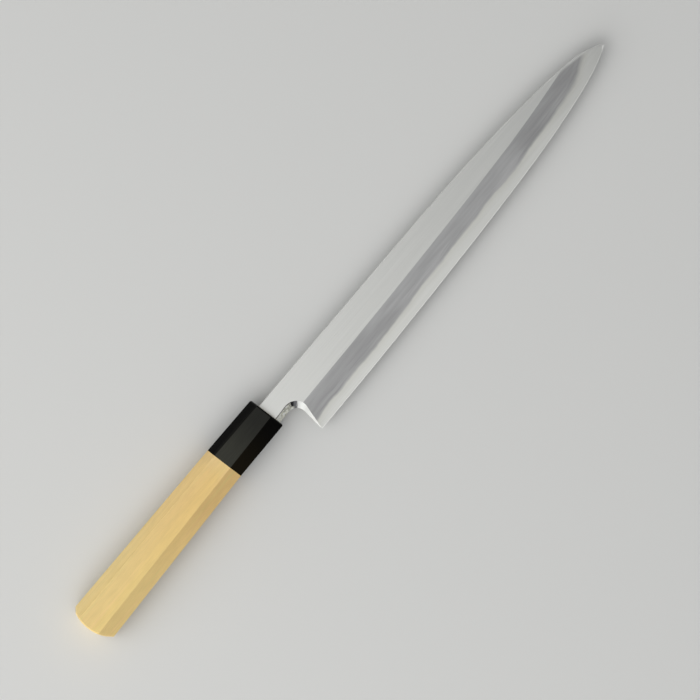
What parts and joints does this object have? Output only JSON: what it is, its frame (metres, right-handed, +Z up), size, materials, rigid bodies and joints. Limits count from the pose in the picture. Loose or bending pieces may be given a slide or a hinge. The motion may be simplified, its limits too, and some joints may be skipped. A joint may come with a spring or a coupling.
{
  "type": "yanagiba knife",
  "caption": "Long slender single-bevel slicing knife for raw fish, with a laminated blade, a dark horn ferrule and a plain octagonal wooden handle.",
  "frame": {"origin": "on the ground under the middle of the knife's bounding box, as it lies with its bevelled side up", "axes": "+X along the blade towards the tip, +Y across it towards the spine, +Z up, out of the bevelled side"},
  "size_m": [0.4214, 0.0394, 0.0215],
  "materials": {
    "soft_iron": "fine lengthwise polish on the flat, hazy stone finish on the bevel",
    "edge_steel": "bright stone finish along the edge, satin hollow back",
    "horn": "polished black horn",
    "grip_wood": "smooth bare magnolia wood, fine straight grain",
    "seal_resin": "matt dark filling"
  },
  "bodies": {
    "root": {"blade_iron_body": "soft_iron", "blade_edge_steel": "edge_steel", "horn_ferrule": "horn", "handle_grip": "grip_wood", "tang_slot_seal": "seal_resin"}
  },
  "joints": []
}
